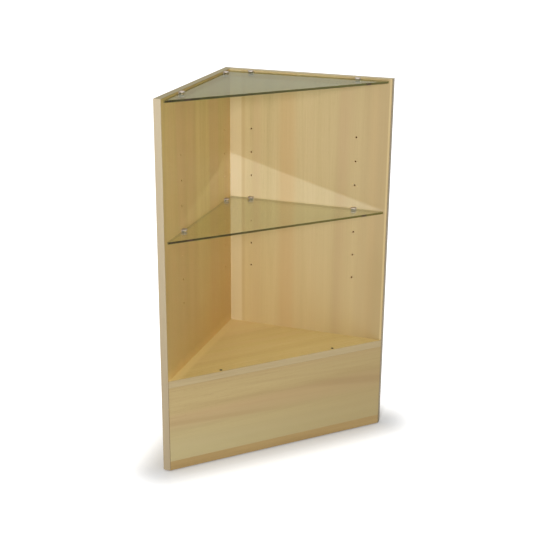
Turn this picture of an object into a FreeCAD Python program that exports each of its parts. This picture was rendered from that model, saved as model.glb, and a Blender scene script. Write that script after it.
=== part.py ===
import FreeCAD, Part
import math
import os
import re
import Sketcher

# Open corner display cabinet, in millimetres.
# Two side panels meet at a right angle at the back. A triangular deck and a triangular bottom
# board lie between them, a front board closes the base, and two triangular panes of glass sit
# in clips that plug into holes in the panels.
# Frame: +Z up, the open front faces -Y, +X to the right seen from the front, and the origin
# is on the floor, halfway from the outer back corner to the front line.
# Places are given as u, v and z: u runs from the outer back corner along the left panel's
# outer face, v along the right panel's outer face, and z is the height above the floor.

doc = FreeCAD.newDocument("corner_cabinet")

# Driving sizes. Diameters end in dia, numbers of copies in count.
sizes = {
    # Carcass
    "height": 965,
    "side_depth": 457,
    "board": 19,
    "bottom_thick": 25,
    "deck_height": 254,
    "edge_band": 1,
    "band_ease": 0.4,
    "front_joint": 0.5,
    # Pin holes in the side panels
    "pin_hole_dia": 5,
    "pin_hole_deep": 12,
    "first_row_height": 425.4,
    "row_pitch": 64,
    "row_count": 7,
    "rows_below_shelf_count": 3,
    "column_back": 60.5,
    "column_front": 89.5,
    "top_row_drop": 6,
    # Glass
    "glass_thick": 6,
    "glass_setback": 3,
    "glass_tip_flat": 3,
    "glass_arris": 0.4,
    # Glass clips and their pads
    "clip_width": 14,
    "clip_reach": 12,
    "clip_web": 1.5,
    "clip_jaw": 3,
    "clip_drop": 1.5,
    "clip_round": 5,
    "clip_ease": 0.6,
    "clip_pin_length": 10,
    "clip_pin_tip": 0.8,
    "clip_pin_play": 0.05,
    "pad_thick": 0.6,
    "pad_width": 10,
    "pad_short": 1,
    "glass_top_play": 0.2,
    "glass_edge_play": 0.4,
    # Screws that join the side panels, and their caps
    "corner_screw_count": 4,
    "corner_screw_end": 90,
    "corner_screw_length": 50,
    "corner_shank_dia": 7,
    "corner_thread_dia": 6.2,
    "corner_head_dia": 10,
    "corner_head_high": 3,
    "corner_tip": 3,
    "corner_socket_dia": 4.6,
    "corner_socket_deep": 2.4,
    "cap_high": 1,
    "cap_plug_dia": 3.6,
    "cap_plug_long": 1.6,
    # Cam locks, cam bolts and dowels of the deck and the bottom board
    "cam_dia": 15,
    "cam_high": 12.5,
    "cam_axis_deep": 9.5,
    "cam_inset": 34,
    "cam_back": 60,
    "cam_front": 88,
    "cam_slot_wide": 1.4,
    "cam_slot_long": 10,
    "cam_slot_deep": 2.5,
    "cam_mouth": 7,
    "cam_mouth_past": 2,
    "cam_bolt_bore_dia": 7,
    "cam_bolt_dia": 6,
    "cam_bolt_thread_dia": 4.8,
    "cam_bolt_thread": 10,
    "cam_bolt_shank": 25,
    "cam_bolt_neck_dia": 4,
    "cam_bolt_neck": 5.5,
    "cam_bolt_head_dia": 6.2,
    "cam_bolt_head": 3,
    "dowel_dia": 8,
    "dowel_length": 30,
    "dowel_in_panel": 12,
    "dowel_back": 105,
    "dowel_front": 133,
    "dowel_ease": 1,
    # Screws through the deck and the bottom board into the front board
    "front_screw_pitch": 324,
    "front_screw_dia": 4,
    "front_screw_head_dia": 8,
    "front_screw_length": 50,
    "front_screw_tip": 4,
    "cross_wide": 1,
    "cross_long": 4,
    "cross_deep": 1.6,
    # Floor glides
    "glide_dia": 22,
    "glide_high": 3,
    "glide_ease": 1,
    "glide_back": 45,
    "glide_side": 30,
    "glide_front": 36,
    "nail_dia": 2.2,
    "nail_length": 15,
    "nail_tip": 3,
    # Clearances
    "bore_play": 0.1,
    "bore_spare": 1,
    "overrun": 1,
}

# Sizes worked out from them in the sheet
worked_out = {
    "slant": "=sqrt(2)",
    "front_line": "=side_depth + board",
    "half_depth": "=front_line / slant / 2",
    "leg": "=side_depth - board",
    "column_pitch": "=leg - column_back - column_front",
    "panel_height": "=height - edge_band - glide_high",
    "deck_under": "=deck_height - board",
    "bottom_top": "=glide_high + bottom_thick",
    "board_leg": "=leg - edge_band * slant",
    "front_length": "=leg * slant",
    "screw_pitch": "=(height - 2 * corner_screw_end) / (corner_screw_count - 1)",
    "shelf_pin_height": "=first_row_height + rows_below_shelf_count * row_pitch",
    "top_pin_height": "=height - top_row_drop",
    "slot_high": "=glass_thick + glass_top_play + 2 * pad_thick",
    "clip_high": "=slot_high + 2 * clip_jaw",
    "glass_under_drop": "=clip_drop + slot_high / 2 - pad_thick",
    "glass_gap": "=clip_web + pad_thick + glass_edge_play",
    "glass_line": "=leg - glass_setback * slant",
    "glass_tip": "=glass_line - glass_gap - glass_tip_flat",
    "cam_front_along": "=leg - cam_front",
    "dowel_front_along": "=leg - dowel_front",
    "deck_axis": "=deck_under + cam_axis_deep",
    "bottom_axis": "=bottom_top - cam_axis_deep",
    "front_middle": "=front_line - board / slant",
    "glide_line": "=front_line - glide_front",
}

aliases = {**sizes, **worked_out}
sheet = doc.addObject("Spreadsheet::Sheet", "Sizes")
for line, (alias, amount) in enumerate(aliases.items(), start=1):
    sheet.set(f"A{line}", alias)
    sheet.set(f"B{line}", str(amount))
    sheet.setAlias(f"B{line}", alias)
doc.recompute()

# Directions in the row frame
leftRun = FreeCAD.Vector(-1, -1, 0).normalize()
rightRun = FreeCAD.Vector(1, -1, 0).normalize()
up = FreeCAD.Vector(0, 0, 1)
forward = FreeCAD.Vector(0, -1, 0)
across = FreeCAD.Vector(1, 0, 0)

# The least cosine between two directions that count as the same
parallel = math.cos(math.radians(1))

nodes = {}


def s(text):
    """Put the sheet's name before each alias in an expression."""
    return re.sub("[a-z_]+", lambda word: f"Sizes.{word[0]}" if word[0] in aliases else word[0], text)


def value(text):
    """The value of an expression in sheet aliases, for the first guess of a sketch."""
    return float(sheet.evalExpression(s(text)))


def turned(x_way, y_way):
    """The rotation that brings local X and Y to two directions at right angles."""
    return FreeCAD.Rotation(x_way, y_way, x_way.cross(y_way), "ZXY")


def seat(piece, u, v, z, turn):
    """Turn a piece and bind its place to the sheet, from a place in u, v and z."""
    piece.Placement = FreeCAD.Placement(FreeCAD.Vector(), turn)
    piece.setExpression("Placement.Base.x", s(f"(({v}) - ({u})) / slant"))
    piece.setExpression("Placement.Base.y", s(f"half_depth - (({u}) + ({v})) / slant"))
    piece.setExpression("Placement.Base.z", s(z))


def new_body(name):
    return doc.addObject("PartDesign::Body", name)


def sketch_on(body, plane, offset="0"):
    """A sketch on one of the body's own planes, moved along the plane's normal."""
    sketch = body.newObject("Sketcher::SketchObject", "Sketch")
    origin_plane = next(item for item in body.Origin.OriginFeatures if item.Role == plane)
    sketch.AttachmentSupport = [(origin_plane, "")]
    sketch.MapMode = "FlatFace"
    sketch.setExpression("AttachmentOffset.Base.z", s(offset))
    return sketch


def pin_point(sketch, geometry, point, x, y):
    """Hold one point of a sketch at two distances from its origin, bound to the sheet."""
    for kind, text in (("DistanceX", x), ("DistanceY", y)):
        number = sketch.addConstraint(Sketcher.Constraint(kind, -1, 1, geometry, point, value(text)))
        name = f"{kind}{geometry}"
        sketch.renameConstraint(number, name)
        sketch.setExpression(f"Constraints.{name}", s(text))


def outline(sketch, corners):
    """A closed outline of straight edges through corners given as pairs of expressions."""
    spots = [FreeCAD.Vector(value(x), value(y), 0) for x, y in corners]
    for number, spot in enumerate(spots):
        sketch.addGeometry(Part.LineSegment(spot, spots[(number + 1) % len(spots)]), False)
    for number, (x, y) in enumerate(corners):
        sketch.addConstraint(Sketcher.Constraint("Coincident", number, 1, (number or len(corners)) - 1, 2))
        pin_point(sketch, number, 1, x, y)


def circles(sketch, centres, dia):
    """Circles of one diameter, an expression, round centres given as pairs of expressions."""
    for number, (x, y) in enumerate(centres):
        centre = FreeCAD.Vector(value(x), value(y), 0)
        sketch.addGeometry(Part.Circle(centre, up, value(dia) / 2), False)
        pin_point(sketch, number, 3, x, y)
        size = sketch.addConstraint(Sketcher.Constraint("Diameter", number, value(dia)))
        sketch.renameConstraint(size, f"Diameter{number}")
        sketch.setExpression(f"Constraints.Diameter{number}", s(dia))


def pad(body, sketch, length, backward=False, middle=False):
    feature = body.newObject("PartDesign::Pad", "Pad")
    feature.Profile = sketch
    feature.setExpression("Length", s(length))
    feature.Reversed = backward
    if middle:
        feature.SideType = "Symmetric"
    doc.recompute()
    return feature


def pocket(body, sketch, deep, forwards=False):
    """A pocket that has to take something away; forwards cuts along the sketch's normal."""
    before = body.Shape.Volume
    feature = body.newObject("PartDesign::Pocket", "Pocket")
    feature.Profile = sketch
    feature.setExpression("Length", s(deep))
    feature.Reversed = forwards
    doc.recompute()
    if not feature.Shape.Volume < before:
        raise RuntimeError(f"{body.Label}: a pocket cuts nothing")
    return feature


def pattern(body, feature, pitch, count):
    """Copies of a feature, evenly spaced up its sketch."""
    copies = body.newObject("PartDesign::LinearPattern", "LinearPattern")
    copies.Originals = [feature]
    copies.Direction = (feature.Profile[0], ["V_Axis"])
    copies.setExpression("Length", s(f"{pitch} * ({count} - 1)"))
    copies.setExpression("Occurrences", s(count))
    body.Tip = copies
    doc.recompute()


def turned_body(name, profile):
    """A round piece about local Z, from a half profile of radius and height pairs."""
    body = new_body(name)
    sketch = sketch_on(body, "XZ_Plane")
    outline(sketch, profile)
    feature = body.newObject("PartDesign::Revolution", "Revolution")
    feature.Profile = sketch
    feature.ReferenceAxis = (sketch, ["V_Axis"])
    feature.Angle = 360
    doc.recompute()
    return body


def faces_that_face(feature, way, both=False):
    """Names of a feature's flat faces whose outward normal is along a direction."""
    names = []
    for number, face in enumerate(feature.Shape.Faces, start=1):
        if isinstance(face.Surface, Part.Plane):
            match = face.normalAt(0, 0).dot(way)
            if (abs(match) if both else match) > parallel:
                names.append(f"Face{number}")
    return names


def ease(body, feature, faces, size):
    """Chamfer every edge of some faces."""
    chamfer = body.newObject("PartDesign::Chamfer", "Chamfer")
    chamfer.Base = (feature, faces)
    chamfer.setExpression("Size", s(size))
    doc.recompute()
    return chamfer


def node(name, piece):
    """Give a finished piece the name of its node."""
    piece.Label = name
    nodes[name] = piece


def group(name, pieces):
    """Several like pieces in one node."""
    compound = doc.addObject("Part::Compound", name)
    compound.Links = pieces
    doc.recompute()
    node(name, compound)


# Side panels. Each stands on its back edge's lower end, with its inner face at local y = 0.
# The left one's wood is on the -y side and the right one's on the +y side.

def side_panel(name, left):
    body = new_body(name)
    start = "edge_band" if left else "0"
    reach = "side_depth" if left else "leg"
    corner = "board" if left else "0"
    front = f"{reach} - edge_band"
    face = sketch_on(body, "XZ_Plane")
    outline(face, [(start, "0"), (front, "0"), (front, "panel_height"), (start, "panel_height")])
    pad(body, face, "board", backward=not left)

    columns = ["column_back", "column_back + column_pitch"]
    rows = sketch_on(body, "XZ_Plane")
    circles(rows, [(x, "first_row_height - glide_high") for x in columns], "pin_hole_dia")
    pattern(body, pocket(body, rows, "pin_hole_deep", forwards=left), "row_pitch", "row_count")
    top_row = sketch_on(body, "XZ_Plane")
    circles(top_row, [(x, "top_pin_height - glide_high") for x in columns], "pin_hole_dia")
    pocket(body, top_row, "pin_hole_deep", forwards=left)

    levels = ["bottom_axis - glide_high", "deck_axis - glide_high"]
    bolts = sketch_on(body, "XZ_Plane")
    along = [f"{corner} + cam_back", f"{corner} + cam_front_along"]
    circles(bolts, [(x, z) for x in along for z in levels], "cam_bolt_thread_dia + 2 * bore_play")
    pocket(body, bolts, "cam_bolt_thread + bore_spare", forwards=left)
    dowels = sketch_on(body, "XZ_Plane")
    along = [f"{corner} + dowel_back", f"{corner} + dowel_front_along"]
    circles(dowels, [(x, z) for x in along for z in levels], "dowel_dia + 2 * bore_play")
    pocket(body, dowels, "dowel_in_panel + bore_spare / 2", forwards=left)

    if left:
        # Through holes and head seats for the corner screws, from the outer face
        for dia, deep in (("corner_shank_dia", "board + overrun"),
                          ("corner_head_dia", "cap_high + corner_head_high")):
            holes = sketch_on(body, "XZ_Plane", "board")
            circles(holes, [("board / 2", "corner_screw_end - glide_high")], f"{dia} + 2 * bore_play")
            pattern(body, pocket(body, holes, deep), "screw_pitch", "corner_screw_count")
    else:
        # Pilot holes for the same screws, in the back edge
        holes = sketch_on(body, "YZ_Plane")
        circles(holes, [("board / 2", "corner_screw_end - glide_high")], "corner_thread_dia + 2 * bore_play")
        deep = "cap_high + corner_screw_length - board + bore_spare"
        pattern(body, pocket(body, holes, deep, forwards=True), "screw_pitch", "corner_screw_count")

    seat(body, "0" if left else "board", "board", "glide_high",
         turned(leftRun, rightRun) if left else turned(rightRun, -leftRun))
    node(name, body)


side_panel("left_side_panel", left=True)
side_panel("right_side_panel", left=False)


# Edge bands: a strip with eased outer edges, its outer face at local y = edge_band, its width
# along local x and its length along local z.

def edge_band(name, width, length, u, v, z, outward, along):
    body = new_body(name)
    section = sketch_on(body, "XY_Plane")
    outline(section, [("0", "0"), (width, "0"), (width, "edge_band - band_ease"),
                      (f"{width} - band_ease", "edge_band"), ("band_ease", "edge_band"),
                      ("0", "edge_band - band_ease")])
    pad(body, section, length)
    seat(body, u, v, z, turned(outward.cross(along), outward))
    node(name, body)


upright = "height - glide_high"
edge_band("left_front_edge_band", "board", upright, "side_depth - edge_band", "board", "glide_high",
          leftRun, up)
edge_band("left_back_edge_band", "board", upright, "edge_band", "0", "glide_high", -leftRun, up)
edge_band("right_front_edge_band", "board", upright, "0", "side_depth - edge_band", "glide_high",
          rightRun, up)
edge_band("left_top_edge_band", "board", "side_depth - 2 * edge_band", "edge_band", "0",
          "height - edge_band", up, leftRun)
edge_band("right_top_edge_band", "board", "leg - edge_band", "board", "board",
          "height - edge_band", up, rightRun)

# The bands of the deck and the bottom board run across the front, between the side panels
band_start = ("side_depth - edge_band * slant", "board")
edge_band("deck_edge_band", "board", "front_length - 2 * edge_band", *band_start, "deck_under",
          forward, across)
edge_band("bottom_edge_band", "bottom_thick", "front_length - 2 * edge_band", *band_start,
          "glide_high", forward, across)


# Deck and bottom board: triangles whose right angle lies in the inner back corner. Their cams
# sit in the side that faces the closed base. Places along each leg start at that corner.

half_step = "front_screw_pitch / slant / 2"
screw_spots = [(f"front_middle / 2 + {half_step}", f"front_middle / 2 - {half_step}"),
               (f"front_middle / 2 - {half_step}", f"front_middle / 2 + {half_step}")]
glide_spots = [("board + glide_back", "board + glide_back"),
               ("glide_line - board - glide_side", "board + glide_side"),
               ("board + glide_side", "glide_line - board - glide_side"),
               ("glide_line / 2", "glide_line / 2")]


def from_corner(spots):
    """Places in u and v as distances along the two legs from the inner back corner."""
    return [(f"{u} - board", f"{v} - board") for u, v in spots]


def corner_board(name, thick, under, cams_below):
    body = new_body(name)
    plan = sketch_on(body, "XY_Plane")
    outline(plan, [("0", "0"), ("board_leg", "0"), ("0", "board_leg")])
    pad(body, plan, thick)

    axis = "cam_axis_deep" if cams_below else f"{thick} - cam_axis_deep"
    along = ["cam_back", "cam_front_along"]
    cams = sketch_on(body, "XY_Plane", "0" if cams_below else thick)
    spots = [(x, "cam_inset") for x in along] + [("cam_inset", x) for x in along]
    circles(cams, spots, "cam_dia + 2 * bore_play")
    pocket(body, cams, "cam_high + bore_play", forwards=cams_below)
    for plane, forwards in (("XZ_Plane", False), ("YZ_Plane", True)):
        bolts = sketch_on(body, plane)
        circles(bolts, [(x, axis) for x in along], "cam_bolt_bore_dia")
        pocket(body, bolts, "cam_inset", forwards=forwards)
        dowels = sketch_on(body, plane)
        circles(dowels, [(x, axis) for x in ("dowel_back", "dowel_front_along")],
                "dowel_dia + 2 * bore_play")
        pocket(body, dowels, "dowel_length - dowel_in_panel + bore_spare / 2", forwards=forwards)

    # Countersunk holes for the front board's screws, from the face away from the base
    screws = sketch_on(body, "XY_Plane", thick if cams_below else "0")
    circles(screws, from_corner(screw_spots), "front_screw_dia")
    before = body.Shape.Volume
    hole = body.newObject("PartDesign::Hole", "Hole")
    hole.Profile = screws
    doc.recompute()
    hole.Reversed = not cams_below
    hole.DepthType = "ThroughAll"
    hole.HoleCutType = "Countersink"
    hole.HoleCutCustomValues = True
    hole.HoleCutCountersinkAngle = 90
    hole.setExpression("Diameter", s("front_screw_dia + 2 * bore_play"))
    hole.setExpression("HoleCutDiameter", s("front_screw_head_dia + 2 * bore_play"))
    doc.recompute()
    if not body.Shape.Volume < before:
        raise RuntimeError(f"{name}: a hole cuts nothing")
    if not cams_below:
        nails = sketch_on(body, "XY_Plane")
        circles(nails, from_corner(glide_spots), "nail_dia + 2 * bore_play")
        pocket(body, nails, "nail_length + bore_spare", forwards=True)
    seat(body, "board", "board", under, turned(leftRun, rightRun))
    node(name, body)


corner_board("deck_board", "board", "deck_under", cams_below=True)
corner_board("bottom_board", "bottom_thick", "glide_high", cams_below=False)


# Front board: stands on the bottom board under the deck, its ends mitred to the side panels

def front_board():
    body = new_body("front_board")
    plan = sketch_on(body, "XY_Plane")
    outer = "leg - front_joint * slant"
    outline(plan, [(outer, "front_joint * slant"), ("front_joint * slant", outer),
                   ("front_joint * slant", f"{outer} - board * slant"),
                   (f"{outer} - board * slant", "front_joint * slant")])
    pad(body, plan, "deck_under - bottom_top")
    for level, cover, forwards in (("0", "bottom_thick", True), ("deck_under - bottom_top", "board", False)):
        pilots = sketch_on(body, "XY_Plane", level)
        circles(pilots, from_corner(screw_spots), "front_screw_dia + 2 * bore_play")
        pocket(body, pilots, f"front_screw_length - {cover} + bore_spare", forwards=forwards)
    seat(body, "board", "board", "bottom_top", turned(leftRun, rightRun))
    node("front_board", body)


front_board()


# Glass: a triangle with its two sharp ends cut off square and its arrises ground

def glass_pane(name, pin_height):
    body = new_body(name)
    plan = sketch_on(body, "XY_Plane")
    outline(plan, [("glass_gap", "glass_gap"), ("glass_tip", "glass_gap"),
                   ("glass_tip", "glass_line - glass_tip"), ("glass_line - glass_tip", "glass_tip"),
                   ("glass_gap", "glass_tip")])
    slab = pad(body, plan, "glass_thick")
    ease(body, slab, faces_that_face(slab, up, both=True), "glass_arris")
    seat(body, "board", "board", f"{pin_height} - glass_under_drop", turned(leftRun, rightRun))
    node(name, body)


glass_pane("glass_shelf", "shelf_pin_height")
glass_pane("glass_top", "top_pin_height")


# Glass clips: a block rounded at its free end, with a slot for the glass and a pin. The local
# origin is where the pin's axis meets the panel, x points away from the panel and z up.

def glass_clip(name):
    body = new_body(name)
    plan = sketch_on(body, "XY_Plane", "-clip_drop - clip_high / 2")
    outline(plan, [("0", "-clip_width / 2"), ("clip_reach", "-clip_width / 2"),
                   ("clip_reach", "clip_width / 2"), ("0", "clip_width / 2")])
    block = pad(body, plan, "clip_high")
    corners = [f"Edge{number}" for number, edge in enumerate(block.Shape.Edges, start=1)
               if edge.BoundBox.XMin > 0 and abs(edge.tangentAt(edge.FirstParameter).z) > parallel]
    rounded = body.newObject("PartDesign::Fillet", "Fillet")
    rounded.Base = (block, corners)
    rounded.setExpression("Radius", s("clip_round"))
    doc.recompute()
    ease(body, rounded, faces_that_face(rounded, up, both=True), "clip_ease")
    side = sketch_on(body, "XZ_Plane", "clip_width / 2 + overrun")
    floor_line = "-clip_drop - slot_high / 2"
    roof_line = "-clip_drop + slot_high / 2"
    outline(side, [("clip_web", floor_line), ("clip_reach + overrun", floor_line),
                   ("clip_reach + overrun", roof_line), ("clip_web", roof_line)])
    pocket(body, side, "clip_width + 2 * overrun")
    pin_end = sketch_on(body, "YZ_Plane")
    circles(pin_end, [("0", "0")], "pin_hole_dia - 2 * clip_pin_play")
    pin = pad(body, pin_end, "clip_pin_length", backward=True)
    tip = [name for name in faces_that_face(pin, FreeCAD.Vector(-1, 0, 0))
           if pin.Shape.getElement(name).CenterOfMass.x < -value("clip_pin_length / 2")]
    ease(body, pin, tip, "clip_pin_tip")
    return body


def clip_pad(name):
    """The clear liner of a clip's slot, a thin U open towards the glass."""
    body = new_body(name)
    side = sketch_on(body, "XZ_Plane")
    floor_line = "-clip_drop - slot_high / 2"
    roof_line = "-clip_drop + slot_high / 2"
    end = "clip_reach - pad_short"
    inside = "clip_web + pad_thick"
    outline(side, [("clip_web", floor_line), (end, floor_line), (end, f"{floor_line} + pad_thick"),
                   (inside, f"{floor_line} + pad_thick"), (inside, f"{roof_line} - pad_thick"),
                   (end, f"{roof_line} - pad_thick"), (end, roof_line), ("clip_web", roof_line)])
    pad(body, side, "pad_width", middle=True)
    return body


clip_columns = {"back": "column_back", "front": "column_back + column_pitch"}
for pane, pin_height in (("shelf", "shelf_pin_height"), ("top", "top_pin_height")):
    pads = []
    for side in ("left", "right"):
        for end, column in clip_columns.items():
            clip = glass_clip(f"{pane}_clip_{side}_{end}")
            liner = clip_pad(f"{pane}_pad_{side}_{end}")
            for piece in (clip, liner):
                if side == "left":
                    seat(piece, column, "board", pin_height, turned(rightRun, -leftRun))
                else:
                    seat(piece, "board", f"board + {column}", pin_height, turned(leftRun, rightRun))
            node(f"{pane}_clip_{side}_{end}", clip)
            pads.append(liner)
    group(f"{pane}_clip_pads", pads)


# Corner screws: driven from the left panel's outer face, their heads under flush caps. The
# local origin is on that face and z points into the wood.

def corner_screw(name):
    head, shank, thread = (f"{part}_dia / 2" for part in ("corner_head", "corner_shank", "corner_thread"))
    head_end = "cap_high + corner_head_high"
    end = "cap_high + corner_screw_length"
    body = turned_body(name, [("0", "cap_high"), (head, "cap_high"), (head, head_end), (shank, head_end),
                              (shank, "board - bore_spare"), (thread, "board - bore_spare"),
                              (thread, f"{end} - corner_tip"), ("0", end)])
    socket = sketch_on(body, "XY_Plane", "cap_high")
    across_corners = "corner_socket_dia / 2"
    lean = "corner_socket_dia / 4"
    flat = "corner_socket_dia * sqrt(3) / 4"
    outline(socket, [(across_corners, "0"), (lean, flat), (f"-{lean}", flat), (f"-{across_corners}", "0"),
                     (f"-{lean}", f"-{flat}"), (lean, f"-{flat}")])
    pocket(body, socket, "corner_socket_deep", forwards=True)
    return body


def corner_cap(name):
    return turned_body(name, [("0", "0"), ("corner_head_dia / 2", "0"), ("corner_head_dia / 2", "cap_high"),
                              ("cap_plug_dia / 2", "cap_high"),
                              ("cap_plug_dia / 2", "cap_high + cap_plug_long"),
                              ("0", "cap_high + cap_plug_long")])


corner_screws = []
corner_caps = []
for number in range(sizes["corner_screw_count"]):
    for pieces, make, name in ((corner_screws, corner_screw, "corner_screw"),
                               (corner_caps, corner_cap, "corner_cap")):
        piece = make(f"{name}_{number}")
        seat(piece, "board / 2", "0", f"corner_screw_end + {number} * screw_pitch",
             turned(up, leftRun))
        pieces.append(piece)
group("corner_screws", corner_screws)
group("corner_screw_caps", corner_caps)


# Cam locks, cam bolts and dowels. A bolt or dowel has its origin on the panel's inner face
# and z points away from the panel. A cam has its origin on the board's face, z into the board
# and its mouth on the -x side, towards the bolt.

def cam_lock(name):
    body = new_body(name)
    plan = sketch_on(body, "XY_Plane")
    circles(plan, [("0", "0")], "cam_dia")
    pad(body, plan, "cam_high")
    slot = sketch_on(body, "XY_Plane")
    cross(slot, "cam_slot_wide", "cam_slot_long")
    pocket(body, slot, "cam_slot_deep", forwards=True)
    side = sketch_on(body, "XZ_Plane", "cam_mouth / 2")
    low, high = "cam_axis_deep - cam_mouth / 2", "cam_high + overrun"
    outline(side, [("-cam_dia", low), ("cam_mouth_past", low), ("cam_mouth_past", high),
                   ("-cam_dia", high)])
    pocket(body, side, "cam_mouth")
    return body


def cross(sketch, wide, long):
    """The outline of a cross recess."""
    arm, half = f"{long} / 2", f"{wide} / 2"
    quarter = [(arm, f"-{half}"), (arm, half), (half, half)]
    corners = []
    for turn in range(4):
        for x, y in quarter:
            spot = {0: (x, y), 1: (f"-({y})", x), 2: (f"-({x})", f"-({y})"),
                    3: (y, f"-({x})")}[turn]
            corners.append(spot)
    outline(sketch, corners)


def cam_bolt(name):
    thread, shank, neck, head = (f"cam_bolt_{part}dia / 2" for part in ("thread_", "", "neck_", "head_"))
    neck_end = "cam_bolt_shank + cam_bolt_neck"
    head_end = f"{neck_end} + cam_bolt_head"
    return turned_body(name, [("0", "-cam_bolt_thread"), (thread, "-cam_bolt_thread"), (thread, "0"),
                              (shank, "0"), (shank, "cam_bolt_shank"), (neck, "cam_bolt_shank"),
                              (neck, neck_end), (head, neck_end), (head, head_end), ("0", head_end)])


def dowel(name):
    radius, narrow = "dowel_dia / 2", "dowel_dia / 2 - dowel_ease"
    low, high = "-dowel_in_panel", "dowel_length - dowel_in_panel"
    return turned_body(name, [("0", low), (narrow, low), (radius, f"{low} + dowel_ease"),
                              (radius, f"{high} - dowel_ease"), (narrow, high), ("0", high)])


for board_name, level, face, into in (("deck", "deck_axis", "deck_under", up),
                                      ("bottom", "bottom_axis", "bottom_top", -up)):
    locks, bolts, pegs = [], [], []
    for side in ("left", "right"):
        for end in ("back", "front"):
            cam_along = "board + cam_back" if end == "back" else "board + cam_front_along"
            peg_along = "board + dowel_back" if end == "back" else "board + dowel_front_along"
            bolt = cam_bolt(f"{board_name}_bolt_{side}_{end}")
            peg = dowel(f"{board_name}_dowel_{side}_{end}")
            lock = cam_lock(f"{board_name}_cam_{side}_{end}")
            if side == "left":
                seat(bolt, cam_along, "board", level, turned(up, leftRun))
                seat(peg, peg_along, "board", level, turned(up, leftRun))
                seat(lock, cam_along, "board + cam_inset", face, turned(rightRun, into.cross(rightRun)))
            else:
                seat(bolt, "board", cam_along, level, turned(rightRun, up))
                seat(peg, "board", peg_along, level, turned(rightRun, up))
                seat(lock, "board + cam_inset", cam_along, face, turned(leftRun, into.cross(leftRun)))
            locks.append(lock)
            bolts.append(bolt)
            pegs.append(peg)
    group(f"{board_name}_cam_locks", locks)
    group(f"{board_name}_cam_bolts", bolts)
    group(f"{board_name}_dowels", pegs)


# Front board screws: countersunk, the origin in the middle of the head, z into the wood

def front_screw(name):
    head, shank = "front_screw_head_dia / 2", "front_screw_dia / 2"
    body = turned_body(name, [("0", "0"), (head, "0"), (shank, f"{head} - {shank}"),
                              (shank, "front_screw_length - front_screw_tip"), ("0", "front_screw_length")])
    recess = sketch_on(body, "XY_Plane")
    cross(recess, "cross_wide", "cross_long")
    pocket(body, recess, "cross_deep", forwards=True)
    return body


for name, height, x_way, y_way in (("deck_front_screws", "deck_height", across, forward),
                                   ("bottom_front_screws", "glide_high", across, -forward)):
    screws = []
    for number, (u, v) in enumerate(screw_spots):
        screw = front_screw(f"{name}_{number}")
        seat(screw, u, v, height, turned(x_way, y_way))
        screws.append(screw)
    group(name, screws)


# Floor glides: discs under the bottom board, each on a nail whose head is moulded in. The
# local origin is where the nail enters the board and z points up.

def glide(name):
    radius, hole = "glide_dia / 2", "nail_dia / 2"
    skin = "-glide_high / 2"
    return turned_body(name, [("0", "-glide_high"), (f"{radius} - glide_ease", "-glide_high"),
                              (radius, "glide_ease - glide_high"), (radius, "0"), (hole, "0"),
                              (hole, skin), ("0", skin)])


def nail(name):
    radius = "nail_dia / 2"
    low = "-glide_high / 2"
    return turned_body(name, [("0", low), (radius, low), (radius, "nail_length - nail_tip"),
                              ("0", "nail_length")])


glides, nails = [], []
for number, (u, v) in enumerate(glide_spots):
    for pieces, make, name in ((glides, glide, "glide"), (nails, nail, "nail")):
        piece = make(f"{name}_{number}")
        seat(piece, u, v, "glide_high", turned(leftRun, rightRun))
        pieces.append(piece)
group("floor_glides", glides)
group("glide_nails", nails)

# Check everything, then write the pieces
doc.recompute()
for item in doc.Objects:
    if "Invalid" in item.State or "Error" in item.State:
        raise RuntimeError(f"{item.Label}: {item.State}")
for name, piece in nodes.items():
    if piece.Shape.isNull() or not piece.Shape.isValid():
        raise RuntimeError(f"{name}: no valid shape")

os.makedirs("parts", exist_ok=True)
for name, piece in nodes.items():
    piece.Shape.exportStep(f"parts/{name}.step")
print(len(nodes), "nodes,", sum(len(piece.Shape.Solids) for piece in nodes.values()), "solids")
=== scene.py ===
import math
import bpy
import numpy as np
from mathutils import Matrix, Vector


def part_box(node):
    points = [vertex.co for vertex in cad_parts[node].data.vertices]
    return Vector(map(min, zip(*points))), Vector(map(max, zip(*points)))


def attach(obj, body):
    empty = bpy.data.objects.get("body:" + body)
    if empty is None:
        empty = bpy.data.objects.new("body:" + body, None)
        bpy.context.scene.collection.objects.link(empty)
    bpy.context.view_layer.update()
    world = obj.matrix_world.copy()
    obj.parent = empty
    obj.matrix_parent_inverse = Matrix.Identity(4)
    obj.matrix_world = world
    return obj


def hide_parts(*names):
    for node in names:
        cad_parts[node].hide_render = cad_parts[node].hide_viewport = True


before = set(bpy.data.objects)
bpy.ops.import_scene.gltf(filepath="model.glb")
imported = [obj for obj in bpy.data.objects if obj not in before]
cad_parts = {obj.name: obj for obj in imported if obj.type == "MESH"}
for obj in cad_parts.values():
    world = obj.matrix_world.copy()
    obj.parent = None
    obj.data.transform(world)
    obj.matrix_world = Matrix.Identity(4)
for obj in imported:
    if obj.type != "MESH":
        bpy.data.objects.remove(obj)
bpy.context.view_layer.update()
print("frame loaded:", len(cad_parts), "CAD nodes")

# Directions of the cabinet: the two panels run from the back corner to the front
leftRun = Vector((-1, -1, 0)).normalized()
rightRun = Vector((1, -1, 0)).normalized()
up = Vector((0, 0, 1))
acrossFront = Vector((1, 0, 0))
forward = Vector((0, -1, 0))
# Its main sizes, in metres. The columns of pin holes are measured from a panel's own back edge
cabinet = {
    "panelDepth": 0.457,
    "boardThick": 0.019,
    "height": 0.965,
    "bandThick": 0.001,
    "shelfPins": 0.6174,
    "topPins": 0.959,
    "backColumn": 0.0605,
    "frontColumn": 0.3485,
}
backCorner = Vector((0, (cabinet["panelDepth"] + cabinet["boardThick"]) / math.sqrt(2) / 2, 0))


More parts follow.
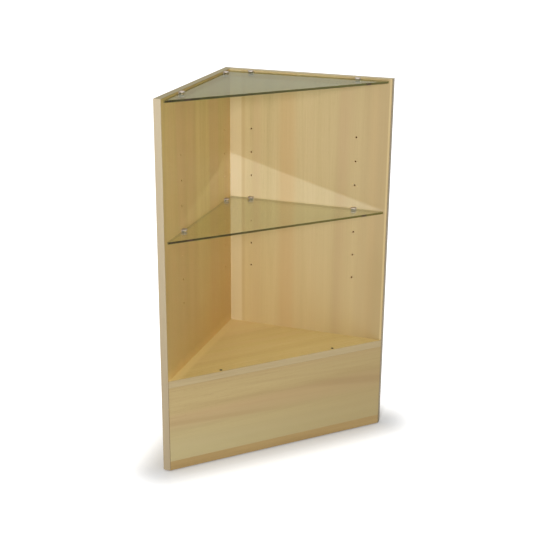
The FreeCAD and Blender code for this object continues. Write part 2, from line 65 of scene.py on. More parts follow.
# The camera of the photograph, in metres, degrees and, for lens and sensor, millimetres
camera = {
    "eye": (-1.18310, -2.53580, 1.46528),
    "azimuth": -25.793,
    "elevation": 19.938,
    "roll": 0.3505,
    "lens": 74.308,
    "sensor": 36.0,
    "farthest": 100.0,
}


def placeCamera(view):
    turn, lift, roll = (math.radians(view[key]) for key in ("azimuth", "elevation", "roll"))
    back = Vector((math.sin(turn) * math.cos(lift), -math.cos(turn) * math.cos(lift), math.sin(lift)))
    side = up.cross(back).normalized()
    top = back.cross(side)
    rolledSide = side * math.cos(roll) + top * math.sin(roll)
    rolledTop = top * math.cos(roll) - side * math.sin(roll)
    lens = bpy.data.cameras.new("photoCamera")
    lens.lens = view["lens"]
    lens.sensor_width = view["sensor"]
    lens.clip_end = view["farthest"]
    eye = bpy.data.objects.new("photoCamera", lens)
    bpy.context.scene.collection.objects.link(eye)
    columns = Matrix((rolledSide, rolledTop, back)).transposed()
    eye.matrix_world = Matrix.Translation(view["eye"]) @ columns.to_4x4()
    bpy.context.scene.camera = eye


placeCamera(camera)
bpy.context.scene.view_settings.view_transform = "Standard"
print("camera placed")


# Shader maths as plain expressions: a Wire holds one output socket, and its operators add Math nodes
class Wire:
    def __init__(self, shader, socket):
        self.shader, self.socket = shader, socket

    def maths(self, operation, *others):
        sockets = dict(enumerate((self, *others)))
        return self.shader.node("ShaderNodeMath", {"operation": operation}, sockets)

    def __add__(self, other):
        return self.maths("ADD", other)

    def __sub__(self, other):
        return self.maths("SUBTRACT", other)

    def __mul__(self, other):
        return self.maths("MULTIPLY", other)

    def __pow__(self, other):
        return self.maths("POWER", other)

    def __rsub__(self, other):
        return self.shader.node("ShaderNodeMath", {"operation": "SUBTRACT"}, {0: other, 1: self})

    def __rtruediv__(self, other):
        return self.shader.node("ShaderNodeMath", {"operation": "DIVIDE"}, {0: other, 1: self})

    __radd__ = __add__
    __rmul__ = __mul__

    def clamped(self):
        return self.shader.node("ShaderNodeClamp", {}, {"Value": self})

    # 0 below low, 1 above high, smooth between them
    def rise(self, low, high):
        settings = {"interpolation_type": "SMOOTHSTEP"}
        return self.shader.node("ShaderNodeMapRange", settings, {
            "Value": self, "From Min": low, "From Max": high})


# The node tree of a material, a lamp or the world
class Shader:
    def __init__(self, owner):
        owner.use_nodes = True
        self.owner, self.tree = owner, owner.node_tree
        self.tree.nodes.clear()

    # Any node: its type, its settings, which are set first, the values or links of its sockets, and
    # the output that is wanted
    def node(self, kind, settings, sockets, output=0):
        made = self.tree.nodes.new(kind)
        for key, setting in settings.items():
            if key == "stops":
                stops = made.color_ramp.elements
                while len(stops) < len(setting):
                    stops.new(1)
                for stop, (place, colour) in zip(stops, setting):
                    stop.position, stop.color = place, colour
            else:
                setattr(made, key, setting)
        for key, given in sockets.items():
            if isinstance(given, Wire):
                self.tree.links.new(given.socket, made.inputs[key])
            else:
                made.inputs[key].default_value = given
        return Wire(self, made.outputs[output]) if made.outputs else None

    def place(self):
        return self.node("ShaderNodeTexCoord", {}, {}, "Object")

    def dot(self, first, second):
        return self.node("ShaderNodeVectorMath", {"operation": "DOT_PRODUCT"}, {0: first, 1: second}, "Value")

    # How far the place lies along each of some directions
    def along(self, *ways):
        place = self.place()
        return [self.dot(place, way) for way in ways]

    def vector(self, x, y, z):
        return self.node("ShaderNodeCombineXYZ", {}, {"X": x, "Y": y, "Z": z})

    def noise(self, at, scale=1.0, detail=2.0, rough=0.5, warp=0.0):
        sockets = {"Vector": at, "Scale": scale, "Detail": detail, "Roughness": rough, "Distortion": warp}
        return self.node("ShaderNodeTexNoise", {}, sockets)

    def ramp(self, share, stops):
        return self.node("ShaderNodeValToRGB", {"stops": stops}, {0: share})

    # A Mix node's colours are its sockets 6 and 7 and its output 2
    def mix(self, share, first, second):
        return self.node("ShaderNodeMix", {"data_type": "RGBA"}, {0: share, 6: first, 7: second}, 2)

    def bump(self, height, strength, distance):
        return self.node("ShaderNodeBump", {}, {"Height": height, "Strength": strength, "Distance": distance})

    # 1 for what the camera, a mirror or clear glass shows, 0 for light between surfaces
    def seen(self):
        rays = ("Is Camera Ray", "Is Glossy Ray", "Is Transmission Ray")
        camera, mirror, glass = (self.node("ShaderNodeLightPath", {}, {}, ray) for ray in rays)
        return (camera + mirror + glass).clamped()

    def surface(self, sockets):
        return self.node("ShaderNodeBsdfPrincipled", {}, sockets)

    def finish(self, surface, output="Material"):
        self.node("ShaderNodeOutput" + output, {}, {"Surface": surface})
        return self.owner


def newMaterial(name):
    return Shader(bpy.data.materials.new(name))


# A screen colour (0-255) as the linear colour that Blender wants, by the sRGB curve
def paint(red, green, blue):
    shares = [tone / 255 for tone in (red, green, blue)]
    return (*(part / 12.92 if part < 0.04045 else ((part + 0.055) / 1.055) ** 2.4 for part in shares), 1)


def grey(level):
    return (level, level, level, 1)


# Where a point lies between two heights of a coordinate: 1 inside, 0 outside, with soft ends
def within(coordinate, low, high, soft):
    return coordinate.rise(low, low + soft) * (1 - coordinate.rise(high - soft, high))


# The raw chipboard between the two laminate skins, seen in the pin holes and on cut edges
chipboard = {
    "skin": 0.0004,
    "skinSoft": 0.0001,
    "grainSize": 420,
    "grainRelief": 3.0,
    "sunk": 2.0,
    "rougher": 0.4,
    "tones": [(0.36, paint(156, 120, 76)), (0.5, paint(204, 168, 116)), (0.66, paint(230, 204, 156))],
}


def chips(wood):
    grains = wood.noise(wood.place(), scale=chipboard["grainSize"], detail=2.0, rough=0.6, warp=0.8)
    return wood.ramp(grains, chipboard["tones"]), grains


noiseMiddle = 0.5    # a noise swings about this value

# How far the edge of a placed tone wanders, and how soft a streak's sides and ends are, as shares
# of the tone's or the streak's own size
markEdges = {
    "wander": 0.8,
    "streakSides": 0.8,
    "streakEnds": 0.3,
}


# Slow changes of tone over a board, some of them painted light and shade: which way from the foot of the back
# corner, from, to, the other tone and its most share
def driftedToneAndLight(wood, tone, toneAndLightDrifts, wander):
    for way, start, end, other, most in toneAndLightDrifts:
        place = wood.along(way)[0] - way.dot(backCorner)
        place = place + (wander - noiseMiddle) * ((end - start) * markEdges["wander"])
        tone = wood.mix(((place - start) * (1 / (end - start))).clamped() * most, tone, paint(*other))
    return tone


# Single streaks: across which way, middle and half width, along which way, from and to, tone and share
def streaked(wood, tone, streaks, wander):
    for across, middle, half, run, start, end, other, most in streaks:
        place = wood.along(across)[0] - across.dot(backCorner)
        place = place + (wander - noiseMiddle) * (half * markEdges["wander"])
        length = wood.along(run)[0] - run.dot(backCorner)
        sides = within(place, middle - half, middle + half, half * markEdges["streakSides"])
        ends = within(length, start, end, (end - start) * markEdges["streakEnds"])
        tone = wood.mix(sides * ends * most, tone, paint(*other))
    return tone


# Noises drawn out along the grain. Each pattern gives its cells per metre across the grain and along
# it, a number that sets it apart from the piece's others, its detail and its roughness
def grainNoises(wood, along, side, seed, patterns):
    return [wood.noise(wood.vector(side * across, along * onward, seed + apart), detail=detail, rough=rough)
            for across, onward, apart, detail, rough in patterns.values()]


# The three tones of a wood, over a share from 0 to 1
def woodTones(wood, share, look):
    places = zip((0.0, 0.5, 1.0), ("pale", "middle", "deep"))
    return wood.ramp(share, [(place, paint(*look[tone])) for place, tone in places])


# Maple-look laminate: pale, middle and deep are its three tones, blush the pinker stripes
laminate = {
    "pale": (212, 190, 145),
    "middle": (200, 176, 129),
    "deep": (182, 155, 108),
    "blush": (201, 171, 132),
    "patterns": {
        "stripes": (1 / 0.045, 0.5, 0, 1.5, 0.5),      # one cell for each 45 mm
        "pinker": (0.8 / 0.045, 0.4, 31, 1.0, 0.5),
        "figure": (22, 0.55, 7, 1.5, 0.5),
        "fibres": (620, 8, 3, 3.0, 0.62),
        "pores": (1300, 70, 5, 1.0, 0.5),
    },
    "stripes": 1.5,
    "figure": 0.12,
    "fibres": 0.85,
    "flecks": 0.30,
    "toneMiddle": 0.45,
    "ringCount": 60,
    "ringSharp": 3,
    "ringLevel": 0.3,
    "poresBetween": (0.60, 0.74),
    "blushBetween": (0.45, 0.65),
    "blushMost": 0.6,
    "marksFrom": 0.003,    # drifts and streaks lie only on the face that shows: they start
    "marksFull": 0.002,    # this deep in the board and are full this deep
    "fibreRelief": 0.5,
    "poreRelief": 0.6,
    "relief": 0.35,
    "reliefDeep": 0.00012,
    "rough": 0.40,
    "roughSpread": 0.12,
    "shine": 0.45,
    "toneAndLightDrifts": [],
    "streaks": [],
}


def laminateMaterial(name, grain, across, through, faces, seed, changes={}):
    look = {**laminate, **changes}
    wood = newMaterial(name)
    along, side, depth = wood.along(grain, across, through)
    stripes, pinker, figure, fibres, pores = grainNoises(wood, along, side, seed, look["patterns"])
    pores = pores.rise(*look["poresBetween"])
    rings = (figure * look["ringCount"]).maths("SINE") * 0.5 + 0.5    # contours, as flat-sawn wood has
    share = ((stripes - noiseMiddle) * look["stripes"]
             + (rings ** look["ringSharp"] - look["ringLevel"]) * look["figure"]
             + (fibres - noiseMiddle) * look["fibres"] + pores * look["flecks"] + look["toneMiddle"])
    tone = woodTones(wood, share.clamped(), look)
    tone = wood.mix(pinker.rise(*look["blushBetween"]) * look["blushMost"], tone, paint(*look["blush"]))
    low, high = faces
    marked = streaked(wood, driftedToneAndLight(wood, tone, look["toneAndLightDrifts"], stripes), look["streaks"], figure)
    tone = wood.mix(depth.rise(high - look["marksFrom"], high - look["marksFull"]), tone, marked)
    core = within(depth, low + chipboard["skin"], high - chipboard["skin"], chipboard["skinSoft"])
    chipTone, grains = chips(wood)
    height = (fibres * look["fibreRelief"] - pores * look["poreRelief"]
              + core * (grains * chipboard["grainRelief"] - chipboard["sunk"]))
    return wood.finish(wood.surface({
        "Base Color": wood.mix(core, tone, chipTone),
        "Roughness": ((fibres - noiseMiddle) * look["roughSpread"] + pores * look["roughSpread"]
                      + look["rough"] + core * chipboard["rougher"]),
        "Normal": wood.bump(height, look["relief"], look["reliefDeep"]),
        "Specular IOR Level": look["shine"],
    }))


# Edge bands, a millimetre thick, with fine straight grain and a thin line of glue against the board
band = {
    "pale": (177, 161, 132),
    "middle": (166, 149, 118),
    "deep": (150, 131, 99),
    "patterns": {
        "broad": (60, 2.2, 0, 2.0, 0.5),
        "fibres": (900, 14, 3, 3.0, 0.6),
    },
    "broad": 0.9,
    "fibres": 0.9,
    "toneMiddle": 0.5,
    "glue": (128, 98, 62),
    "glueLine": 0.00022,
    "glueMost": 0.75,
    "relief": 0.3,
    "reliefDeep": 0.0001,
    "rough": 0.42,
    "roughSpread": 0.15,
    "shine": 0.45,
    "toneAndLightDrifts": [],
}


def bandMaterial(name, grain, across, outward, innerFace, seed, changes={}):
    look = {**band, **changes}
    strip = newMaterial(name)
    along, side, depth = strip.along(grain, across, outward)
    broad, fibres = grainNoises(strip, along, side, seed, look["patterns"])
    share = ((broad - noiseMiddle) * look["broad"] + (fibres - noiseMiddle) * look["fibres"]
             + look["toneMiddle"])
    tone = woodTones(strip, share.clamped(), look)
    tone = driftedToneAndLight(strip, tone, look["toneAndLightDrifts"], broad)
    glue = 1 - depth.rise(innerFace + look["glueLine"] / 2, innerFace + look["glueLine"])
    return strip.finish(strip.surface({
        "Base Color": strip.mix(glue * look["glueMost"], tone, paint(*look["glue"])),
        "Roughness": (fibres - noiseMiddle) * look["roughSpread"] + look["rough"],
        "Normal": strip.bump(fibres, look["relief"], look["reliefDeep"]),
        "Specular IOR Level": look["shine"],
    }))


# Float glass: the faces let light through with a green tint and mirror more at a flat angle; the ground edges
# are dark olive,
# with painted reflections on them: darker at the left and lighter at the right, a browner line along the
# lower arris, the front clips as dark spots, and the panels' colour on the edges that face them
glassLook = {
    "tint": (0.930, 0.951, 0.898, 1),
    "mirror": (0.97, 0.97, 0.93, 1),
    "leastMirror": 0.04,            # what a face mirrors when it is seen straight on
    "mirrorPower": 5,
    "levelBetween": (0.75, 0.85),   # how level a face is, from a ground edge to a polished face
    "frontBetween": (0.8, 0.9),     # how far an edge faces the front, from hidden to front edge
    # painted reflection: the front edge darker at the left and lighter at the right
    "edgeLeft": (32, 27, 6),
    "edgeRight": (98, 90, 38),
    "edgeSpan": (-0.32, 0.34),
    "edgeGreen": (74, 84, 38),
    "greenSize": 35.0,
    "greenBetween": (0.45, 0.75),
    "greenMost": 0.35,
    # painted reflection: the edges that face the panels take the panels' colour
    "edgeHidden": (164, 145, 92),   # the edges that face the panels
    # painted reflection: a browner line along the lower arris of the edge
    "arris": (150, 112, 62),
    "arrisHigh": 0.0008,
    "arrisFull": 0.7,               # the share of its height up to which the line is full
    "arrisMost": 0.6,
    # painted reflection: the front clips as dark spots on the front edge
    "clipSeen": (66, 48, 42),       # the front clips, seen dimly through the front edge
    "clipPlace": 0.242,
    "clipHalf": 0.009,
    "clipMost": 0.8,
    "edgeCover": 0.92,
    "hiddenCover": 0.24,
    "edgeRough": 0.30,
    "edgeShine": 0.15,
    "smearSize": 9.0,
    "smearBetween": (0.5, 0.8),
    "smearRough": 0.04,
}


def glassMaterial(name, under, changes={}):
    glass = {**glassLook, **changes}
    pane = newMaterial(name)
    normal = pane.node("ShaderNodeNewGeometry", {}, {}, "Normal")
    face = pane.dot(normal, up).maths("ABSOLUTE").rise(*glass["levelBetween"])
    front = pane.dot(normal, forward).rise(*glass["frontBetween"])
    facing = pane.node("ShaderNodeLayerWeight", {}, {"Blend": 0.5}, "Facing")
    gloss = (facing ** glass["mirrorPower"]) * (1 - glass["leastMirror"]) + glass["leastMirror"]
    place = pane.place()
    height, sideways = pane.along(up, acrossFront)
    # Painted reflections on the edges: from left to right, along the lower arris, at the front clips, and the
    # panels on the hidden edges
    rim = pane.mix(sideways.rise(*glass["edgeSpan"]), paint(*glass["edgeLeft"]), paint(*glass["edgeRight"]))
    streaks = pane.noise(place, scale=glass["greenSize"], detail=2.0).rise(*glass["greenBetween"])
    rim = pane.mix(streaks * glass["greenMost"], rim, paint(*glass["edgeGreen"]))
    lowArrisReflection = 1 - height.rise(under + glass["arrisHigh"] * glass["arrisFull"], under + glass["arrisHigh"])
    rim = pane.mix(lowArrisReflection * glass["arrisMost"], rim, paint(*glass["arris"]))
    fromClip = (sideways.maths("ABSOLUTE") - glass["clipPlace"]).maths("ABSOLUTE")
    clipReflection = 1 - fromClip.rise(glass["clipHalf"] / 2, glass["clipHalf"])
    rim = pane.mix(clipReflection * glass["clipMost"], rim, paint(*glass["clipSeen"]))
    rim = pane.mix(front, paint(*glass["edgeHidden"]), rim)
    smears = pane.noise(place, scale=glass["smearSize"], detail=3.0).rise(*glass["smearBetween"])
    sheen = pane.surface({
        "Base Color": pane.mix(face, rim, glass["mirror"]),
        "Metallic": face,
        "Roughness": (1 - face) * glass["edgeRough"] + smears * face * glass["smearRough"],
        "Specular IOR Level": glass["edgeShine"],
    })
    clear = pane.node("ShaderNodeBsdfTransparent", {}, {"Color": glass["tint"]})
    edgeCover = front * (glass["edgeCover"] - glass["hiddenCover"]) + glass["hiddenCover"]
    cover = gloss * face + (1 - face) * edgeCover
    return pane.finish(pane.node("ShaderNodeMixShader", {}, {0: cover, 1: clear, 2: sheen}))


# Small metal parts: a base tone with mottling, and roughness that varies with it and with scratches
metal = {
    "mottleSize": 260.0,
    "mottleBetween": (0.35, 0.7),
    "scratchesFiner": 9,
    "relief": 0.15,
    "reliefDeep": 0.00005,
}


def metalMaterial(name, tone, mottle, rough, spread, metallic=1.0):
    part = newMaterial(name)
    place = part.place()
    patches = part.noise(place, scale=metal["mottleSize"], detail=3.0, rough=0.6)
    scratches = part.noise(place, scale=metal["mottleSize"] * metal["scratchesFiner"], detail=2.0, warp=1.5)
    return part.finish(part.surface({
        "Base Color": part.mix(patches.rise(*metal["mottleBetween"]), paint(*tone), paint(*mottle)),
        "Metallic": metallic,
        "Roughness": (patches - noiseMiddle) * spread + (scratches - noiseMiddle) * spread + rough,
        "Normal": part.bump(scratches, metal["relief"], metal["reliefDeep"]),
    }))


# Small plastic and wooden parts: a base tone with worn patches, over a finely pebbled surface
plastic = {
    "wornSize": 180.0,
    "wornBetween": (0.4, 0.75),
    "pebblesFiner": 14,
    "relief": 0.2,
    "reliefDeep": 0.00008,
    "roughSpread": 0.15,
}


def plasticMaterial(name, tone, worn, rough, extra={}):
    part = newMaterial(name)
    place = part.place()
    patches = part.noise(place, scale=plastic["wornSize"], detail=2.0)
    pebbles = part.noise(place, scale=plastic["wornSize"] * plastic["pebblesFiner"], detail=1.0)
    return part.finish(part.surface({
        "Base Color": part.mix(patches.rise(*plastic["wornBetween"]), paint(*tone), paint(*worn)),
        "Roughness": (pebbles - noiseMiddle) * plastic["roughSpread"] + rough,
        "Normal": part.bump(pebbles, plastic["relief"], plastic["reliefDeep"]),
        **extra,
    }))


def dress(nodeNames, material):
    for name in nodeNames:
        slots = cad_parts[name].data.materials
        slots.clear()
        slots.append(material)


# A panel's skins lie at 0 and one board's thickness from its outer face
def faceSpan(through, thick):
    outer = through.dot(backCorner)
    return outer, outer + thick


# The boards, each with its own tones and marks
thick = cabinet["boardThick"]
deckLow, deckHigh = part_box("deck_board")
baseLow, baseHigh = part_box("bottom_board")
frontLow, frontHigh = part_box("front_board")
dress(["left_side_panel"], laminateMaterial(
    "leftPanelLaminate", up, leftRun, rightRun, faceSpan(rightRun, thick), seed=2.0, changes={
        "pale": (212, 187, 117), "middle": (198, 171, 102), "deep": (178, 147, 82), "blush": (200, 164, 106),
        # painted shade: warmer, more orange towards the back corner and its foot; then darker towards the
        # front foot
        "toneAndLightDrifts": [(-leftRun - up * 0.5, -0.50, -0.22, (212, 170, 92), 0.7),
                   (leftRun - up * 0.5, 0.02, 0.22, (184, 155, 94), 0.7),
                   # painted shade: darker under the glass shelf; then paler towards the deck
                   (-up, -0.66, -0.58, (184, 152, 88), 0.3),
                   (up, 0.36, 0.26, (212, 178, 104), 0.45), (up, 0.280, 0.256, (226, 193, 118), 0.75)]}))
dress(["right_side_panel"], laminateMaterial(
    "rightPanelLaminate", up, rightRun, leftRun, faceSpan(leftRun, thick), seed=14.0, changes={
        "pale": (208, 187, 138), "middle": (195, 173, 123), "deep": (176, 152, 103), "blush": (195, 165, 122),
        "stripes": 0.7,
        "toneAndLightDrifts": [(up, 0.66, 0.42, (203, 176, 119), 0.5),
                   # painted shade: darker towards the panel's front, where the light falls off
                   (rightRun, 0.06, 0.46, (168, 144, 99), 0.75),
                   # painted highlight: a paler strip next to the back corner
                   (rightRun, 0.056, 0.050, (212, 192, 148), 0.6)],
        "streaks": [(rightRun, 0.056, 0.007, up, 0.0, 1.4, (188, 157, 108), 0.5),
                    (rightRun, 0.182, 0.034, up, -0.6, 1.3, (192, 159, 108), 0.65),
                    (rightRun, 0.415, 0.020, up, -0.4, 1.4, (184, 156, 108), 0.35),
                    (rightRun, 0.430, 0.050, up, 0.0, 0.60, (158, 134, 82), 0.30),
                    (rightRun, 0.4525, 0.0035, up, -0.4, 1.4, (212, 191, 139), 0.55)]}))
dress(["deck_board"], laminateMaterial(
    "deckLaminate", acrossFront, forward, up, (deckLow.z, deckHigh.z), seed=23.0, changes={
        "pale": (223, 200, 137), "middle": (213, 187, 121), "deep": (196, 167, 102), "blush": (214, 183, 125),
        # painted light: a paler strip on the deck along the foot of the left panel; then paler towards the
        # back
        "toneAndLightDrifts": [(rightRun, thick + 0.026, thick + 0.016, (224, 197, 130), 0.8),
                   (forward, 0.18, 0.07, (226, 196, 138), 0.65)]}))
dress(["bottom_board"], laminateMaterial(
    "bottomLaminate", acrossFront, forward, up, (baseLow.z, baseHigh.z), seed=37.0))
dress(["front_board"], laminateMaterial(
    "frontLaminate", acrossFront, up, forward, (-frontHigh.y, -frontLow.y), seed=45.0, changes={
        "pale": (188, 167, 117), "middle": (175, 152, 102), "deep": (155, 129, 82), "blush": (177, 147, 105),
        # the foot paler and greyer; painted shade: darker towards the right
        "toneAndLightDrifts": [(up, 0.15, 0.06, (180, 166, 120), 0.8), (acrossFront, -0.2, 0.35, (160, 136, 86), 0.6)],
        "streaks": [(up + acrossFront * 0.054, 0.119, 0.010, acrossFront, -0.60, 0.10, (160, 133, 84), 0.40),
                    (up + acrossFront * 0.12, 0.178, 0.018, acrossFront, 0.02, 0.60, (150, 122, 76), 0.42),
                    (up + acrossFront * 0.05, 0.200, 0.006, acrossFront, -0.20, 0.30, (162, 137, 88), 0.30)],
    }))

# The edge bands
panelFront = cabinet["panelDepth"] - cabinet["bandThick"]
leftBack = -leftRun.dot(backCorner)
topBandLow = cabinet["height"] - cabinet["bandThick"]
dress(["left_front_edge_band"], bandMaterial(
    "leftFrontBand", up, rightRun, leftRun, leftRun.dot(backCorner) + panelFront, seed=3.0, changes={
        "toneAndLightDrifts": [(up, 0.25, 0.95, (192, 177, 148), 0.8)]}))
# painted shade: the right front band is darker than the left one, the same strip, as it faces away from the
# key lamp
dress(["right_front_edge_band"], bandMaterial(
    "rightFrontBand", up, leftRun, rightRun, rightRun.dot(backCorner) + panelFront, seed=8.0, changes={
        "pale": (150, 134, 98), "middle": (138, 121, 84), "deep": (122, 104, 68), "shine": 0.2}))
dress(["left_back_edge_band"], bandMaterial(
    "leftBackBand", up, rightRun, -leftRun, leftBack - cabinet["bandThick"], seed=11.0))
dress(["left_top_edge_band"], bandMaterial(
    "leftTopBand", leftRun, rightRun, up, topBandLow, seed=16.0, changes={
        "pale": (164, 150, 98), "middle": (152, 136, 82), "deep": (136, 119, 68), "shine": 0.25}))
dress(["right_top_edge_band"], bandMaterial(
    "rightTopBand", rightRun, leftRun, up, topBandLow, seed=19.0, changes={
        "pale": (198, 182, 138), "middle": (188, 171, 126), "deep": (172, 153, 108), "shine": 0.25}))
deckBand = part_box("deck_edge_band")
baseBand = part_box("bottom_edge_band")
dress(["deck_edge_band"], bandMaterial(
    "deckBand", acrossFront, up, forward, -deckBand[1].y, seed=21.0, changes={
        "pale": (186, 167, 126), "middle": (174, 154, 113), "deep": (158, 136, 95)}))
dress(["bottom_edge_band"], bandMaterial(
    "bottomBand", acrossFront, up, forward, -baseBand[1].y, seed=25.0, changes={
        "pale": (179, 152, 100), "middle": (167, 139, 88), "deep": (150, 121, 72)}))

# Glass, metal, plastic and dowels. The top mirrors less than the shelf, as under a darker room
dress(["glass_shelf"], glassMaterial("shelfGlass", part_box("glass_shelf")[0].z))
dress(["glass_top"], glassMaterial("topGlass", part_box("glass_top")[0].z, {
    "tint": (0.893, 0.925, 0.832, 1), "mirror": (0.19, 0.18, 0.05, 1), "edgeLeft": (32, 30, 12),
    "edgeRight": (92, 88, 48), "edgeHidden": (172, 156, 108), "hiddenCover": 0.25}))
nickel = metalMaterial("brightNickel", (196, 184, 175), (172, 158, 148), rough=0.42, spread=0.14)
zinc = metalMaterial("zincPlate", (196, 199, 203), (170, 174, 180), rough=0.34, spread=0.16)
casting = metalMaterial("rawZinc", (168, 170, 174), (138, 140, 144), rough=0.5, spread=0.2)
blackened = metalMaterial("blackOxide", (44, 40, 36), (30, 28, 26), rough=0.5, spread=0.2, metallic=0.6)
dress(["corner_screws", "deck_cam_bolts", "bottom_cam_bolts", "glide_nails"], zinc)
dress(["deck_cam_locks", "bottom_cam_locks"], casting)
dress(["deck_front_screws", "bottom_front_screws"], blackened)
dress(["shelf_clip_pads", "top_clip_pads"], plasticMaterial(
    "clearVinyl", (222, 222, 214), (206, 205, 194), rough=0.25,
    extra={"Transmission Weight": 0.6, "IOR": 1.53}))
dress(["corner_screw_caps"], plasticMaterial("capPlastic", (200, 171, 106), (192, 162, 98), rough=0.45))
dress(["floor_glides"], plasticMaterial("glidePlastic", (88, 58, 36), (72, 46, 28), rough=0.5))
beech = plasticMaterial("beechDowel", (198, 158, 112), (182, 140, 92), rough=0.7)
dress(["deck_dowels", "bottom_dowels"], beech)
print("CAD nodes dressed")


# Glass clips, rounder than the CAD's, in millimetres: x away from the panel, y along it, z up
clip = {
    "wide": 14.0,
    "reach": 12.0,
    "web": 1.5,
    "low": -8.2,          # under the lower jaw
    "slotLow": -5.2,
    "slotHigh": 2.2,
    "high": 5.2,          # on the upper jaw
    "planRound": 5.0,
    "edgeRound": 0.6,
    "outerRound": 0.75,
    "innerRound": 0.5,
    "roundSteps": 7,
    "edgeSteps": 6,
    "widthSteps": 33,
    "pinRadius": 2.45,
    "pinLong": 10.0,
    "pinInto": 0.3,       # how far the pin starts inside the web
    "pinTip": 0.8,
    "tipTurn": 0.3,       # where the bevel of the tip bends, as a share of the tip
    "pinLid": 0.01,       # radius of the small lid in the middle of each end
    "pinSides": 32,
}
perMetre = 1000           # millimetres in a metre
sharpAngle = math.radians(40)


# A closed outline with rounded corners: at each corner the direction turns evenly from the side
# before to the side after, and a point lies one radius from the corner's centre, square to it
def roundedOutline(corners, radii, steps):
    corners, radii = np.array(corners, float), np.array(radii, float)[:, None]
    ways = np.roll(corners, -1, 0) - corners
    ways /= np.linalg.norm(ways, axis=1, keepdims=True)
    before = np.roll(ways, 1, 0)
    cross = before[:, 0] * ways[:, 1] - before[:, 1] * ways[:, 0]
    turn = np.arctan2(cross, (before * ways).sum(1))[:, None]
    side = np.sign(turn)
    leftOf = np.stack((-before[:, 1], before[:, 0]), 1)
    centres = corners - before * radii * np.tan(np.abs(turn) / 2) + leftOf * radii * side
    angles = np.arctan2(before[:, 1], before[:, 0])[:, None] + turn * np.linspace(0, 1, steps)[None, :]
    outward = np.stack((np.sin(angles), -np.cos(angles)), 2)
    points = centres[:, None, :] + outward * (radii * side)[:, :, None]
    return points.reshape(-1, 2), outward.reshape(-1, 2)


# Quads between the rows of a grid whose rows are closed loops, and a lid on the first and last row
def closedLoops(points):
    rows, columns = points.shape[:2]
    row, column = np.meshgrid(np.arange(rows - 1), np.arange(columns), indexing="ij")
    after = (column + 1) % columns
    quads = np.stack((row * columns + column, row * columns + after,
                      (row + 1) * columns + after, (row + 1) * columns + column), 2)
    lids = [list(range(columns))[::-1], [(rows - 1) * columns + k for k in range(columns)]]
    return points.reshape(-1, 3), quads.reshape(-1, 4).tolist() + lids


# The clip's body: its C outline (x, z) is carried along y, drawn in by an arc at both ends,
# and its reach is shortened by a circle in plan, as the rounded nose of the jaws
def clipBody(look):
    reach, web, outer, inner = look["reach"], look["web"], look["outerRound"], look["innerRound"]
    corners = [(0, look["low"]), (reach, look["low"]), (reach, look["slotLow"]), (web, look["slotLow"]),
               (web, look["slotHigh"]), (reach, look["slotHigh"]), (reach, look["high"]), (0, look["high"])]
    radii = [outer, outer, outer, inner, inner, outer, outer, outer]
    outline, outward = roundedOutline(corners, radii, look["roundSteps"])
    half, edge, nose = look["wide"] / 2, look["edgeRound"], look["planRound"]
    bend = np.linspace(0, math.pi / 2, look["edgeSteps"])[1:]
    flat = np.linspace(-(half - edge), half - edge, look["widthSteps"])
    end = half - edge + edge * np.sin(bend)
    y = np.concatenate((-end[::-1], flat, end))
    endDrawn = edge * (1 - np.cos(bend))
    drawn = np.concatenate((endDrawn[::-1], flat * 0, endDrawn))
    past = np.clip(np.abs(y) - (half - nose), 0, nose)
    shortened = (reach - nose + np.sqrt(nose ** 2 - past ** 2)) / reach
    at = outline[None, :, :] - outward[None, :, :] * drawn[:, None, None]
    places = np.repeat(y[:, None], len(outline), 1)
    return closedLoops(np.stack((at[:, :, 0] * shortened[:, None], places, at[:, :, 1]), 2))


# The pin: a straight line with a bevelled end, turned round the x axis
def clipPin(look):
    radius, long, tip, turn = look["pinRadius"], look["pinLong"], look["pinTip"], look["tipTurn"]
    into, lid = look["pinInto"], look["pinLid"]
    x = np.array([into, into, -long + tip, -long + tip * turn, -long, -long])
    r = np.array([lid, radius, radius, radius - tip * (1 - turn), radius - tip, lid])
    angle = np.linspace(0, 2 * math.pi, look["pinSides"], endpoint=False)
    places = np.repeat(x[:, None], look["pinSides"], 1)
    return closedLoops(np.stack((places, r[:, None] * np.cos(angle), r[:, None] * np.sin(angle)), 2))


# The sign of the enclosed volume, here six times that volume, tells whether the faces point out
def facesOut(points, faces):
    total = 0.0
    for face in faces:
        ring = points[face]
        total += np.einsum("ij,ij->", np.cross(ring[1:-1] - ring[0], ring[2:] - ring[0]), ring[1:-1])
    return faces if total > 0 else [face[::-1] for face in faces]


# One object from closed shells in millimetres, set on its seat: an origin and its x and y directions
def makePiece(name, shells, seat, material, body):
    allPoints, allFaces, first = [], [], 0
    for points, faces in shells:
        allFaces += [[first + k for k in face] for face in facesOut(points, faces)]
        allPoints.append(points)
        first += len(points)
    origin, xWay, yWay = seat
    place = np.array([xWay, yWay, xWay.cross(yWay)])
    points = np.concatenate(allPoints) / perMetre @ place + np.array(origin)
    mesh = bpy.data.meshes.new(name)
    mesh.from_pydata(points.tolist(), [], allFaces)
    mesh.polygons.foreach_set("use_smooth", [True] * len(allFaces))
    mesh.set_sharp_from_angle(angle=sharpAngle)
    mesh.materials.append(material)
    piece = bpy.data.objects.new(name, mesh)
    bpy.context.scene.collection.objects.link(piece)
    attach(piece, body)
    return piece


def makeClips(look):
    shells = [clipBody(look), clipPin(look)]
    for pane in ("shelf", "top"):
        high = up * cabinet[pane + "Pins"]
        for end in ("back", "front"):
            column = cabinet[end + "Column"]
            onLeft = backCorner + leftRun * column + rightRun * thick + high
            onRight = backCorner + leftRun * thick + rightRun * (thick + column) + high
            seats = {"left": (onLeft, rightRun, -leftRun), "right": (onRight, leftRun, rightRun)}
            for side, seat in seats.items():
                piece = makePiece(f"{pane}Clip.{side}.{end}", shells, seat, nickel, "carcass")
                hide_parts(f"{pane}_clip_{side}_{end}")


makeClips(clip)
print("clips made")


